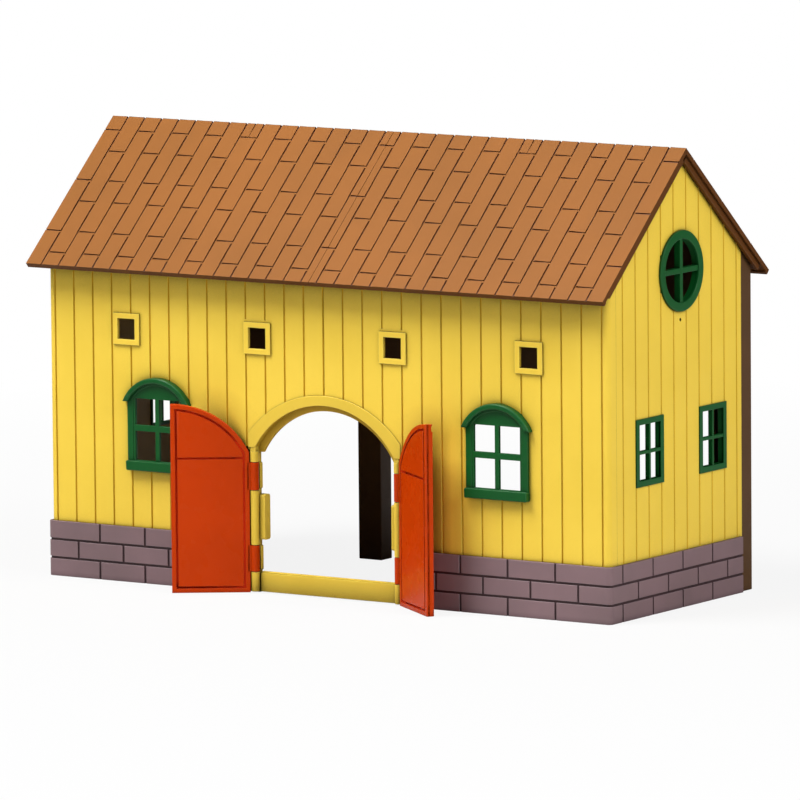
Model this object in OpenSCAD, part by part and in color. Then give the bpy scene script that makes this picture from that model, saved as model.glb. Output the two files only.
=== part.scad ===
// Toy barn with two opening doors: boarded walls on a brick plinth, a shingled
// gable roof in four panels, an open timber-framed back, clip-in windows.
// X runs along the ridge, Y from the door side to the open back, Z up.

/* [Walls] */
// Pitch of the wall boards; the whole barn is laid out on it
plank = 14; // [12:0.5:16]
// Thickness of the moulded wall panels
wall_t = 2.6; // [2.2:0.1:3]
// Width of the groove between two boards
groove_w = 1.6; // [1:0.1:2]
// Depth of the groove between two boards
groove_d = 0.9; // [0.4:0.1:1.2]
// Outside radius of the front corners
corner_r = 3.2; // [3:0.1:4]

/* [Plinth] */
// How far the bricks stand proud of the wall
brick_out = 1.7; // [1:0.1:2]
// Width of a mortar line
mortar_w = 1.4; // [0.8:0.1:1.6]
// Depth of a mortar line
mortar_d = 0.7; // [0.4:0.1:0.9]

/* [Roof] */
// Thickness of a roof panel
roof_t = 2.8; // [2.4:0.1:3.2]
// Width of the lines between shingles
shingle_gap = 1.0; // [0.7:0.1:1.4]
// Depth of the lines between shingles
shingle_d = 0.6; // [0.4:0.1:0.8]

/* [Doors] */
// How far the left leaf stands open, 0 is shut
open_left = 146; // [90:0.5:148]
// How far the right leaf stands open, 0 is shut
open_right = 143; // [90:0.5:148]
// Thickness of a door leaf
leaf_t = 4.0; // [3.6:0.1:4.2]
// Radius of the steel hinge pins
pin_r = 1.25; // [1:0.05:1.4]
// Radial play of a leaf on its pin
pin_play = 0.05; // [0.02:0.01:0.08]

/* [Windows] */
// Width of the thin glazing bars in the gable windows
bar_w = 1.8; // [1.4:0.1:2.4]
// How deep the window frames reach into the wall
window_depth = 3.6; // [2.6:0.1:4]

/* [Hidden] */
p = plank;
e = 0.02;
$fn = 96;

// main outline
wx = 14.34 * p;              // half length of the walls
gy1 = 10.68 * p;             // back edge of the gables
ply1 = 10.60 * p;            // back end of the plinth
seam_y = 0.6 * p;            // where the front wall's return meets the gable
ridge_y = 5.76 * p;
ridge_z = 19.6 * p;
eave_y = -0.965 * p;
eave_z = 13.75 * p;
slope = atan((ridge_z - eave_z) / (ridge_y - eave_y));
slope_l = (ridge_y - eave_y) / cos(slope);
rx = 14.76 * p;              // half length of the roof
roof_x = 0.09 * p;           // how far the roof sits towards the left
plinth_z = 2.42 * p;
course = plinth_z / 3;

// timber frame at the open back
by0 = gy1 + 0.15;
by1 = 11.54 * p;
lintel_z = 8.75 * p;
post_x0 = 4.19 * p;
post_x1 = 5.39 * p;
cpost_x0 = 12.82 * p;
cpost_x1 = 14.31 * p;

// doorway
arch_z = 4.168 * p;
arch_r = 4.171 * p;
band_z = 3.745 * p;
band_r = 5.033 * p;
band_out = 0.06 * p;
collar_r = 4.36 * p;
hole_r = 4.375 * p;
stop_z = 4.25 * p;
stop_r = 3.82 * p;
jamb_x = 4.11 * p;           // edge of the walls beside the doors
jamb_top = 6.15 * p;
arch_foot = 6.35 * p;        // where the collar round the arch starts
leg_x = 4.65 * p;            // where the plinth starts beside the doorway

// hinges
ax = 3.69 * p;
ay = 0.11 * p;
barrel_r = 0.185 * p;
leaf_u0 = 0.225 * p;
leaf_w = 3.60 * p;
leaf_z0 = 0.02 * p;
leaf_in = 0.06 * p;          // inner face, past the pin's plane
leaf_arch_x = 3.63 * p;
leaf_arch_z = 4.385 * p;
leaf_arch_r = 3.81 * p;
frame_knuckles = [[0.06 * p, 0.905 * p], [2.085 * p, 4.44 * p], [5.68 * p, jamb_top]];
leaf_knuckles = [[0.925 * p, 2.065 * p], [4.46 * p, 5.66 * p]];

// windows
aw_l = 8.60 * p;             // middles of the arched windows, left and right
aw_r = 8.83 * p;
aw_hood_z = 7.12 * p;
aw_hood_r = 1.90 * p;
gw_y = [3.225 * p, 8.315 * p];
gw_z0 = 5.53 * p;
gw_z1 = 8.41 * p;
gw_w = 2.19 * p;
rw_z = 14.37 * p;
rw_r = 1.733 * p;
vent_l = [3.38 * p, 10.21 * p];
vent_r = [3.56 * p, 10.41 * p];
vent_z = 11.045 * p;

// shingle columns: the middle column is shared by both halves of the roof
col0 = 0.395 * p;
col = 0.903 * p;
cut_a = [0.84 * p, 3.86 * p, 6.90 * p];
cut_b = [2.11 * p, 5.12 * p, 8.17 * p];

// origin: middle of the box round the barn with its doors standing open
tip_y_l = ay - leaf_w * sin(open_left) + leaf_in * cos(open_left);
tip_y_r = ay - leaf_w * sin(open_right) + leaf_in * cos(open_right);
back_y = 2 * ridge_y - eave_y;
y_mid = (min(tip_y_l, tip_y_r) + back_y) / 2;

yellow = [0.94, 0.78, 0.24];
brick = [0.49, 0.42, 0.44];
tile = [0.72, 0.45, 0.22];
timber = [0.27, 0.18, 0.12];
green = [0.10, 0.38, 0.18];
red = [0.78, 0.25, 0.04];
steel = [0.62, 0.63, 0.65];

function under(y) = ridge_z - abs(y - ridge_y) * tan(slope) - roof_t / cos(slope);

module place() translate([0, -y_mid, 0]) children();
module left() mirror([1, 0, 0]) children();

// box from corner to corner
module bx(a, b) translate(a) cube(b - a);

// a shape drawn in X and Z, extruded along Y from y0 to y1
module along_y(y0, y1) translate([0, y1, 0]) rotate([90, 0, 0]) linear_extrude(y1 - y0) children();

// a shape drawn in Y and Z, extruded along X from x0 to x1
module along_x(x0, x1) translate([x0, 0, 0]) rotate([90, 0, 90]) linear_extrude(x1 - x0) children();

// everything under the roof panels, with a little play
module under_roof(play = 0.15) along_x(-2 * rx, 2 * rx) polygon([
    [-3 * p, -p], [ridge_y * 2 + 3 * p, -p],
    [ridge_y * 2 + 3 * p, under(ridge_y * 2 + 3 * p) - play],
    [ridge_y, under(ridge_y) - play],
    [-3 * p, under(-3 * p) - play]]);

// one vertical board groove in a face whose outside is towards -Y
module groove(x, z0, z1) translate([x, 0, z0]) linear_extrude(z1 - z0)
    polygon([[-groove_w / 2, -1], [groove_w / 2, -1], [groove_w / 2, 0.15], [groove_w / 4, groove_d], [-groove_w / 4, groove_d], [-groove_w / 2, 0.15]]);

// ---------------------------------------------------------------- front wall
module front_plan() difference() {
    union() {
        square([wx - corner_r, 2 * corner_r]);
        translate([wx - corner_r, corner_r]) circle(corner_r);
        translate([wx - corner_r * 2, corner_r]) square([corner_r * 2, seam_y - corner_r]);
    }
    translate([-1, wall_t]) square([wx - wall_t + 1, seam_y * 2]);
}

module front_wall(aw_x, vent_x) difference() {
    intersection() {
        union() {
            translate([0, 0, plinth_z]) linear_extrude(13 * p) front_plan();
            bx([jamb_x - 1, 0, 0], [leg_x, wall_t, plinth_z + e]);
        }
        under_roof();
    }
    for (i = [0:14]) groove(i * p, -1, 16 * p);
    along_y(-1, wall_t + 1) {
        intersection() {
            translate([0, arch_z]) circle(hole_r);
            translate([-p, arch_foot - 1]) square([6 * p, 4 * p]);
        }
        translate([-1, -1]) square([jamb_x + 1, arch_foot + 1]);
        translate([aw_x, 0]) aw_hole();
        for (x = vent_x) translate([x - 0.61 * p, vent_z - 0.61 * p]) square(1.22 * p);
    }
}

module front_wall_left() color(yellow) left() front_wall(aw_l, vent_l);
module front_wall_right() color(yellow) front_wall(aw_r, vent_r);

// ---------------------------------------------------------------- gable wall
module gable_wall() difference() {
    along_x(wx - wall_t, wx) difference() {
        polygon([[seam_y + 0.15, plinth_z], [gy1, plinth_z], [gy1, under(gy1) - 0.15],
            [ridge_y, under(ridge_y) - 0.15], [seam_y + 0.15, under(seam_y + 0.15) - 0.15]]);
        for (y = gw_y) translate([y - gw_w / 2 + 0.13 * p, gw_z0 + 0.13 * p]) square([gw_w - 0.26 * p, gw_z1 - gw_z0 - 0.26 * p]);
        translate([ridge_y, rw_z]) circle(1.56 * p);
        translate([5.74 * p, 12.29 * p]) circle(0.075 * p, $fn = 32);
    }
    for (j = [0:9]) translate([wx, (1.126 + 1.02 * j) * p, 0]) rotate(90) groove(0, -1, 20 * p);
}

module gable_wall_left() color(yellow) left() gable_wall();
module gable_wall_right() color(yellow) gable_wall();

// ------------------------------------------------------------- brick plinth
module plinth_plan() difference() {
    union() {
        translate([leg_x, -brick_out]) square([wx + brick_out - corner_r - leg_x, corner_r + brick_out + 2]);
        translate([wx + brick_out - corner_r, corner_r - brick_out]) circle(corner_r);
        translate([wx - corner_r, corner_r - brick_out]) square([corner_r + brick_out, ply1 - corner_r + brick_out]);
    }
    translate([0, wall_t]) square([wx - wall_t, gy1]);
}

// mortar line that follows the face of the plinth at height z
module bed_joint(z) translate([0, 0, z - mortar_w / 2]) linear_extrude(mortar_w) difference() {
    translate([leg_x - 1, -brick_out - 1]) square([wx + brick_out + 2 - leg_x, gy1 + 4]);
    translate([0, mortar_d - brick_out]) square([wx + brick_out - corner_r, gy1 + 9]);
    translate([0, corner_r - brick_out]) square([wx + brick_out - mortar_d, gy1 + 9]);
    translate([wx + brick_out - corner_r, corner_r - brick_out]) circle(corner_r - mortar_d);
}

module plinth() difference() {
    linear_extrude(plinth_z) plinth_plan();
    for (k = [1:2]) bed_joint(k * course);
    for (k = [0:2]) {
        z0 = k * course + (k == 0 ? -1 : 0);
        z1 = (k + 1) * course + (k == 2 ? 1 : 0);
        front0 = k == 1 ? 12.84 : 11.70;
        side0 = k == 1 ? 2.09 : 0.86;
        for (j = [0:3]) if (front0 - 2.38 * j > 4.7)
            bx([(front0 - 2.38 * j) * p - mortar_w / 2, -brick_out - 1, z0], [(front0 - 2.38 * j) * p + mortar_w / 2, mortar_d - brick_out, z1]);
        for (j = [0:4]) if (side0 + 2.41 * j < 10.2)
            bx([wx + brick_out - mortar_d, (side0 + 2.41 * j) * p - mortar_w / 2, z0], [wx + brick_out + 1, (side0 + 2.41 * j) * p + mortar_w / 2, z1]);
    }
}

module plinth_left() color(brick) left() plinth();
module plinth_right() color(brick) plinth();

// ---------------------------------------------------------------- door frame
// ring between two circles, above height z0
module arch_ring(zi, ri, zo, ro, z0) difference() {
    intersection() {
        translate([0, zo]) circle(ro);
        translate([-6 * p, z0]) square([12 * p, 6 * p]);
    }
    translate([0, zi]) circle(ri);
}

module frame_side() {
    // strip behind the wall and the knuckles
    bx([3.62 * p, 0.33 * p, 0], [4.50 * p, 0.55 * p, arch_foot + 0.1 * p]);
    bx([4.14 * p, wall_t + 0.1, 0.3 * p], [4.50 * p, 0.34 * p, arch_foot]);
    // tabs that fill the gaps behind the knuckles of the leaf
    for (k = leaf_knuckles) along_y(0.33 * p, 0.55 * p) {
        translate([3.56 * p, k[0] + 0.1 * p]) square([0.1 * p, k[1] - k[0] - 0.2 * p]);
        for (z = [k[0] + 0.1 * p, k[1] - 0.1 * p]) translate([3.64 * p, z]) circle(0.08 * p, $fn = 48);
    }
    // knuckles on the wall
    for (k = frame_knuckles) {
        translate([ax, ay, k[0]]) cylinder(r = barrel_r, h = k[1] - k[0]);
        bx([3.56 * p, ay, k[0]], [3.82 * p, 0.34 * p, k[1]]);
    }
    // the top knuckle grows into the collar
    bx([ax - 0.14 * p, -0.03 * p, 5.85 * p], [ax + 0.12 * p, 0.34 * p, arch_foot - 0.1]);
    bx([ax - 0.14 * p, -0.03 * p, 5.85 * p], [ax + 0.04 * p, 0.34 * p, arch_foot + 0.08 * p]);
    // flange that the shut leaf rests on
    along_x(3.25 * p, 3.60 * p) {
        translate([0.21 * p, 2.3 * p]) square([0.34 * p, 1.97 * p]);
        translate([0.5 * p, 2.4 * p]) square([0.15 * p, 1.77 * p]);
        for (z = [2.4, 4.17]) translate([0.55 * p, z * p]) circle(0.1 * p, $fn = 48);
    }
}

module door_frame() color(yellow) difference() {
    union() {
        // band and front edge of the arch
        along_y(-band_out, 0) difference() {
            intersection() {
                translate([0, band_z]) circle(band_r);
                union() {
                    translate([-6 * p, 6.95 * p]) square([12 * p, 6 * p]);
                    translate([-3.90 * p, 6.32 * p]) square([7.8 * p, p]);
                }
            }
            translate([0, arch_z]) circle(arch_r);
        }
        along_y(-e, 0.28 * p + e) arch_ring(arch_z, arch_r, arch_z, collar_r, arch_foot + e);
        // rim that the shut leaves stop against
        along_y(0.28 * p, 0.46 * p) arch_ring(stop_z, stop_r, arch_z, collar_r, 6.1 * p);
        frame_side();
        left() frame_side();
    }
    for (s = [-1, 1]) translate([s * ax, ay, -1]) cylinder(r = pin_r + 0.02, h = 6.06 * p + 1);
}

module threshold() color(yellow) {
    bx([-3.49 * p, 0.205 * p, 0.05 * p], [3.49 * p, 0.46 * p, 0.85 * p]);
    bx([-3.49 * p, 0.24 * p, 0.84 * p], [3.49 * p, 0.46 * p, 0.92 * p]);
    bx([-3.54 * p, 0.32 * p, 0.05 * p], [3.54 * p, 0.46 * p, 0.90 * p]);
}

// --------------------------------------------------------------- vent frames
module vent_frame() {
    along_y(-0.09 * p, 0) difference() {
        translate([-0.69 * p, -0.69 * p]) square(1.38 * p);
        translate([-0.44 * p, -0.45 * p]) square([0.88 * p, 0.90 * p]);
    }
    // locating rim in the wall
    along_y(-e, 0.10 * p) difference() {
        translate([-0.6 * p, -0.6 * p]) square(1.2 * p);
        translate([-0.51 * p, -0.51 * p]) square(1.02 * p);
    }
}

module vent_frames() color(yellow)
    for (x = concat(-vent_l, vent_r)) translate([x, 0, vent_z]) vent_frame();

// ------------------------------------------------------------ arched windows
// drawn in X and Z about the window's own middle line
module aw_outline(half, r, z0) {
    translate([-half, z0]) square([2 * half, 7.85 * p - z0]);
    intersection() {
        translate([0, aw_hood_z]) circle(r);
        translate([-half, 7.75 * p]) square([2 * half, 2 * p]);
    }
}

module aw_hole() aw_outline(1.36 * p, 1.62 * p, 5.2 * p);

module aw_panes() for (s = [-1, 1], z = [[5.375, 6.65], [6.92, 8.07]])
    translate([s > 0 ? 0.108 * p : -1.1535 * p, z[0] * p]) square([1.0455 * p, (z[1] - z[0]) * p]);

module arched_window() difference() {
    union() {
        // sash
        along_y(-0.12 * p, 0.03 * p) aw_outline(1.34 * p, 1.60 * p, 5.215 * p);
        // locating rim in the wall
        along_y(0, wall_t + 0.4) difference() {
            aw_outline(1.34 * p, 1.60 * p, 5.215 * p);
            aw_outline(1.275 * p, 1.535 * p, 5.285 * p);
        }
        // casing on the face of the wall
        along_y(-0.15 * p, 0) difference() {
            aw_outline(1.55 * p, 1.80 * p, 5.0 * p);
            aw_outline(1.25 * p, 1.55 * p, 5.2 * p);
        }
        // hood
        along_y(-0.32 * p, 0) intersection() {
            difference() {
                translate([0, aw_hood_z]) circle(aw_hood_r);
                translate([0, aw_hood_z]) circle(aw_hood_r - 0.25 * p);
            }
            translate([-2 * p, 7.92 * p]) square([4 * p, 2 * p]);
        }
        // sill
        along_y(-0.30 * p, 0) {
            translate([-1.57 * p, 4.93 * p]) square([3.14 * p, 0.33 * p]);
            translate([-1.47 * p, 4.93 * p]) square([2.94 * p, 0.43 * p]);
            for (s = [-1, 1]) translate([s * 1.47 * p, 5.26 * p]) circle(0.1 * p, $fn = 32);
        }
    }
    along_y(-p, p) aw_panes();
}

module arched_window_left() color(green) translate([-aw_l, 0, 0]) arched_window();
module arched_window_right() color(green) translate([aw_r, 0, 0]) arched_window();

// ------------------------------------------------------------- gable windows
// drawn in Y and Z about the window's own middle line
module gw_opening(inset) translate([-gw_w / 2 + inset, gw_z0 + inset]) square([gw_w - 2 * inset, gw_z1 - gw_z0 - 2 * inset]);

module gable_window(y) translate([0, y, 0]) {
    along_x(wx, wx + 0.05 * p) difference() { gw_opening(0); gw_opening(0.25 * p); }
    along_x(wx - window_depth, wx + e) difference() { gw_opening(0.14 * p); gw_opening(0.25 * p); }
    along_x(wx - 0.19 * p, wx + 0.03 * p) intersection() {
        union() {
            translate([-bar_w / 2, gw_z0]) square([bar_w, gw_z1 - gw_z0]);
            translate([-gw_w / 2, (gw_z0 + gw_z1) / 2 - bar_w * 0.55]) square([gw_w, bar_w * 1.1]);
        }
        gw_opening(0.24 * p);
    }
}

module gable_window_left_front() color(green) left() gable_window(gw_y[0]);
module gable_window_left_back() color(green) left() gable_window(gw_y[1]);
module gable_window_right_front() color(green) gable_window(gw_y[0]);
module gable_window_right_back() color(green) gable_window(gw_y[1]);

// ------------------------------------------------------------- round windows
module round_window() translate([0, ridge_y, rw_z]) {
    along_x(wx, wx + 0.11 * p) difference() { circle(rw_r); circle(1.35 * p); }
    along_x(wx - window_depth, wx + e) difference() { circle(1.55 * p); circle(1.35 * p); }
    along_x(wx - 0.24 * p, wx + 0.06 * p) intersection() {
        union() {
            translate([-0.115 * p, -2 * p]) square([0.23 * p, 4 * p]);
            translate([-2 * p, -0.115 * p]) square([4 * p, 0.23 * p]);
        }
        circle(1.36 * p);
    }
}

module round_window_left() color(green) left() round_window();
module round_window_right() color(green) round_window();

// --------------------------------------------------------------- door leaves
// drawn shut, with the pin on the Z axis and the free edge towards +X;
// the inner face looks towards +Y
module leaf_outline(inset = 0, u0 = leaf_u0) intersection() {
    translate([u0 + inset, leaf_z0 + inset]) square([leaf_w - u0 - 2 * inset, 9 * p]);
    union() {
        square([leaf_w, leaf_arch_z]);
        translate([leaf_arch_x, leaf_arch_z]) circle(leaf_arch_r - inset);
    }
}

module leaf() difference() {
    union() {
        intersection() {
            linear_extrude(9 * p) polygon([[leaf_u0, leaf_in], [leaf_w, leaf_in], [leaf_w, leaf_in - leaf_t],
                [0.785 * p, leaf_in - leaf_t], [0.30 * p, 0], [leaf_u0, 0]]);
            along_y(-p, p) leaf_outline();
        }
        // raised rim on the outer face, along the arch and the bottom
        along_y(leaf_in - leaf_t - 0.05 * p, leaf_in - leaf_t + e) intersection() {
            difference() { leaf_outline(); leaf_outline(0.28 * p); }
            translate([1.1 * p, 0]) square([leaf_w - 1.1 * p, 9 * p]);
        }
        for (k = leaf_knuckles) {
            translate([0, 0, k[0]]) cylinder(r = barrel_r, h = k[1] - k[0]);
            bx([0, -0.05 * p, k[0]], [0.3 * p, leaf_in, k[1]]);
        }
    }
    for (k = leaf_knuckles) translate([0, 0, k[0] - 1]) cylinder(r = pin_r + pin_play, h = k[1] - k[0] + 2);
    // border groove and cross groove on the inner face
    along_y(leaf_in - 0.05 * p, leaf_in + 1) {
        difference() { leaf_outline(0.19 * p); leaf_outline(0.28 * p); }
        intersection() {
            translate([0, 5.80 * p]) square([leaf_w, 0.09 * p]);
            leaf_outline(0.2 * p);
        }
    }
    // board grooves on the outer face
    for (i = [1:3]) translate([leaf_w - i * 0.84 * p, leaf_in - leaf_t, 0])
        along_y(-1, 0.6) translate([-0.5, leaf_z0 + 0.28 * p]) square([1, 5.1 * p]);
}

module door_leaf_left() color(red) translate([-ax, ay, 0]) rotate(-open_left) leaf();
module door_leaf_right() color(red) left() translate([-ax, ay, 0]) rotate(-open_right) leaf();

module hinge_pin() translate([ax, ay, 0.1 * p]) cylinder(r = pin_r, h = 5.93 * p);
module hinge_pin_left() color(steel) left() hinge_pin();
module hinge_pin_right() color(steel) hinge_pin();

// ----------------------------------------------------------------- roof
// slope coordinates of the front: X along the ridge, -Y down the slope, Z out
module on_slope() translate([0, ridge_y, ridge_z]) rotate([slope, 0, 0]) children();
module back() translate([0, 2 * ridge_y, 0]) mirror([0, 1, 0]) children();

// rib is where the rib that hooks over the gable starts
module panel_body(rib) intersection() {
    on_slope() union() {
        bx([0.1, -slope_l, -roof_t], [rx, 2 * p, 0]);
        // rib that hooks over the gable
        bx([rib, -slope_l + 0.6 * p, -roof_t - 3.6], [rib + 2.5, 2 * p, -roof_t + e]);
        // drip edge along the eave
        bx([0.1, -slope_l, -roof_t - 0.8], [rx, -slope_l + 2.4, -roof_t + e]);
    }
    bx([-1, -9 * p, 0], [2 * rx, ridge_y - 0.05, 30 * p]);
}

// column i of shingles lies between side_x(i) and side_x(i + 1)
function side_x(i) = i > 0 ? col0 + (i - 1) * col : -col0 + i * col;
function cuts(i) = i % 2 == 0 ? cut_a : cut_b;

// every cross line runs into the long line on its right, which stops there
module shingle_lines(i0, i1) for (i = [i0:i1]) {
    x0 = side_x(i);
    x1 = side_x(i + 1);
    starts = concat([-1], [for (s = cuts(i)) s + shingle_gap / 2 + 0.09 * p]);
    ends = concat([for (s = cuts(i)) s + shingle_gap / 2], [slope_l + 1]);
    if (abs(x1) < rx - 1) for (j = [0:3])
        bx([x1 - shingle_gap / 2, -ends[j], -shingle_d], [x1 + shingle_gap / 2, -starts[j], 1]);
    for (s = cuts(i))
        bx([x0 + 0.08 * p, -s - shingle_gap / 2, -shingle_d], [min(x1, rx + 1), -s + shingle_gap / 2, 1]);
}

module roof_panel_left(rib) difference() {
    left() panel_body(rib);
    on_slope() {
        shingle_lines(-16, 0);
        bx([-7.17 * p - 0.3, -cut_a[0], -shingle_d], [-7.17 * p + 0.3, 1, 1]);
    }
}
module roof_panel_right(rib) difference() {
    panel_body(rib);
    on_slope() {
        shingle_lines(0, 16);
        bx([7.17 * p - 0.3, -cut_a[0], -shingle_d], [7.17 * p + 0.3, 1, 1]);
    }
}
module turned() translate([0, 2 * ridge_y, 0]) rotate(180) children();

module on_roof() translate([-roof_x, 0, 0]) children();
rib_l = wx + 0.6 - roof_x;
rib_r = wx + 0.6 + roof_x;

module roof_front_left() color(tile) on_roof() roof_panel_left(rib_l);
module roof_front_right() color(tile) on_roof() roof_panel_right(rib_r);
module roof_back_left() color(tile) on_roof() turned() roof_panel_right(rib_l);
module roof_back_right() color(tile) on_roof() turned() roof_panel_left(rib_r);

// beam under the ridge, from gable to gable
module ridge_beam() color(timber) intersection() {
    bx([-wx + wall_t + 0.1, ridge_y - 7, under(ridge_y) - 14], [wx - wall_t - 0.1, ridge_y + 7, ridge_z]);
    under_roof(0.2);
}

module joiner(s0, s1) on_slope() {
    bx([-9, -s1, -roof_t - 2.3], [9, -s0, -roof_t - 0.15]);
    for (s = [-1, 1]) bx([s * 7.5 - 1, -s1, -roof_t - 4.5], [s * 7.5 + 1, -s0, -roof_t - 2.3 + e]);
}
module roof_joiner_front() color(timber) joiner(1.25 * p, 7.15 * p);
module roof_joiner_back() color(timber) back() joiner(1.25 * p, 6.30 * p);

// ------------------------------------------------- corner brackets, inside
module corner_bracket() translate([0, 0, 6]) linear_extrude(13.2 * p) polygon([
    [wx - wall_t - 0.15, wall_t + 0.15], [wx - wall_t - 0.15, 18], [wx - wall_t - 2.15, 18],
    [wx - wall_t - 2.15, wall_t + 2.15], [wx - wall_t - 14, wall_t + 2.15], [wx - wall_t - 14, wall_t + 0.15]]);
module corner_bracket_left() color(yellow) left() corner_bracket();
module corner_bracket_right() color(yellow) corner_bracket();

// --------------------------------------------------- timber frame at the back
module corner_post() intersection() {
    difference() {
        bx([cpost_x0, by0, 0], [cpost_x1, by1, 16 * p]);
        // moulded hollow, open to the inside of the barn
        bx([cpost_x0 + 2.4, by0 - 1, 3], [cpost_x1 - 2.4, by1 - 2.4, lintel_z]);
    }
    under_roof();
}
module back_post_corner_left() color(timber) left() corner_post();
module back_post_corner_right() color(timber) corner_post();

module inner_post() bx([post_x0, by0, 0], [post_x1, by1, lintel_z - 0.1]);
module back_post_inner_left() color(timber) left() inner_post();
module back_post_inner_right() color(timber) inner_post();

module back_panel() color(timber) difference() {
    intersection() {
        union() {
            bx([-cpost_x0 + 0.15, by0, lintel_z], [cpost_x0 - 0.15, by0 + wall_t + 0.4, 16 * p]);
            bx([-cpost_x0 + 0.15, by0, lintel_z], [cpost_x0 - 0.15, by1, lintel_z + 0.7 * p]);
            bx([-cpost_x0 + 0.15, by0, 13.2 * p], [cpost_x0 - 0.15, by1, 16 * p]);
            for (s = [-1, 1]) bx([s * 4.79 * p - 0.6 * p, by0, lintel_z], [s * 4.79 * p + 0.6 * p, by1, 13.3 * p]);
        }
        under_roof();
    }
    for (i = [-12:12]) if (abs(abs(i) - 4.79) > 0.65)
        translate([i * p, by0 + wall_t + 0.4, 0]) rotate(180) groove(0, lintel_z + 0.7 * p, 13.2 * p);
}

place() front_wall_left();
place() front_wall_right();
place() gable_wall_left();
place() gable_wall_right();
place() plinth_left();
place() plinth_right();
place() door_frame();
place() threshold();
place() vent_frames();
place() arched_window_left();
place() arched_window_right();
place() gable_window_left_front();
place() gable_window_left_back();
place() gable_window_right_front();
place() gable_window_right_back();
place() round_window_left();
place() round_window_right();
place() door_leaf_left();
place() door_leaf_right();
place() hinge_pin_left();
place() hinge_pin_right();
place() roof_front_left();
place() roof_front_right();
place() roof_back_left();
place() roof_back_right();
place() ridge_beam();
place() roof_joiner_front();
place() roof_joiner_back();
place() corner_bracket_left();
place() corner_bracket_right();
place() back_panel();
place() back_post_corner_left();
place() back_post_corner_right();
place() back_post_inner_left();
place() back_post_inner_right();
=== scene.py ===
import math
import bmesh
import bpy
from mathutils import Matrix, Vector


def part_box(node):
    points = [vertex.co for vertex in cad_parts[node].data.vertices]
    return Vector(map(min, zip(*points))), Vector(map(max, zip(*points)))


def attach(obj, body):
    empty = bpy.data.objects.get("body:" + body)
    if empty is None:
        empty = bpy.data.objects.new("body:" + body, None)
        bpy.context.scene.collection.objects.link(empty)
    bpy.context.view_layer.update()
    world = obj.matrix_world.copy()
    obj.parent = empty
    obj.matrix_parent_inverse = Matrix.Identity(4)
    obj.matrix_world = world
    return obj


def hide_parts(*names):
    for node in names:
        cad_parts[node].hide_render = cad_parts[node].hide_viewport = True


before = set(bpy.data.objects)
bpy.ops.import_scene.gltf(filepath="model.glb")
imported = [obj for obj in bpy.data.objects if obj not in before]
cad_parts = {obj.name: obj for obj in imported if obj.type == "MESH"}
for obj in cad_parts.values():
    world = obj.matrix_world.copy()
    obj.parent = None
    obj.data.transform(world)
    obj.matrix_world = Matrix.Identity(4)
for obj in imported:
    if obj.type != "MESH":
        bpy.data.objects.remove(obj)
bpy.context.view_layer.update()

# ------------------------------------------------------------------ measures
# everything is laid out on the board pitch P, in millimetres, with the outer
# face of the front wall at Y = 0
P = 14.0
Y0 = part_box("front_wall_right")[0][1] * 1000
WALL, GROOVE_D = 2.6, 0.9
CORNER, BRICK_OUT, MORTAR_W, MORTAR_D = 3.2, 1.7, 1.4, 0.7
ROOF_T, GAP, GAP_D = 2.8, 1.0, 0.6
WX, GY1, PLY1, SEAM_Y = 14.34 * P, 10.68 * P, 10.60 * P, 0.6 * P
RIDGE_Y, RIDGE_Z, EAVE_Y, EAVE_Z = 5.76 * P, 19.6 * P, -0.965 * P, 13.75 * P
SLOPE = math.atan((RIDGE_Z - EAVE_Z) / (RIDGE_Y - EAVE_Y))
SLOPE_L = (RIDGE_Y - EAVE_Y) / math.cos(SLOPE)
RX, ROOF_X = 14.76 * P, 0.09 * P
PLINTH_Z = 2.42 * P
BY0, BY1, LINTEL = GY1 + 0.15, 11.54 * P, 8.75 * P
ARCH_Z, ARCH_R = 4.168 * P, 4.171 * P
JAMB, FOOT, LEG = 4.11 * P, 6.35 * P, 4.65 * P
AX, AY, BARREL = 3.69 * P, 0.11 * P, 0.185 * P
FRAME_K = [(0.06, 0.905), (2.085, 4.44), (5.68, 6.15)]
LEAF_K = [(0.925, 2.065), (4.46, 5.66)]
OPEN_L, OPEN_R = 146.0, 143.0
LEAF_W, LEAF_T, LEAF_IN, LEAF_Z0, LEAF_U0 = 3.60 * P, 4.0, 0.06 * P, 0.02 * P, 0.225 * P
LEAF_AX, LEAF_AZ, LEAF_AR = 3.63 * P, 4.385 * P, 3.81 * P
COL0, COL = 0.395 * P, 0.903 * P
CUT_A, CUT_B = [0.84 * P, 3.86 * P, 6.90 * P], [2.11 * P, 5.12 * P, 8.17 * P]


def under(y):
    return RIDGE_Z - abs(y - RIDGE_Y) * math.tan(SLOPE) - ROOF_T / math.cos(SLOPE)


# ------------------------------------------------------------------- meshes
class Geo:
    """Vertices in millimetres, faces and a material number for each face."""

    def __init__(self):
        self.v, self.f, self.m = [], [], []

    def add(self, verts, faces, mat=0):
        n = len(self.v)
        self.v += [tuple(q) for q in verts]
        self.f += [[i + n for i in f] for f in faces]
        self.m += list(mat) if isinstance(mat, (list, tuple)) else [mat] * len(faces)
        return self

    def join(self, other, move=None, mat=None):
        v = [move(*q) for q in other.v] if move else other.v
        return self.add(v, other.f, other.m if mat is None else mat)

    def mirrored(self):
        g = Geo()
        g.v = [(-x, y, z) for x, y, z in self.v]
        g.f = [list(reversed(f)) for f in self.f]
        g.m = list(self.m)
        return g


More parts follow.
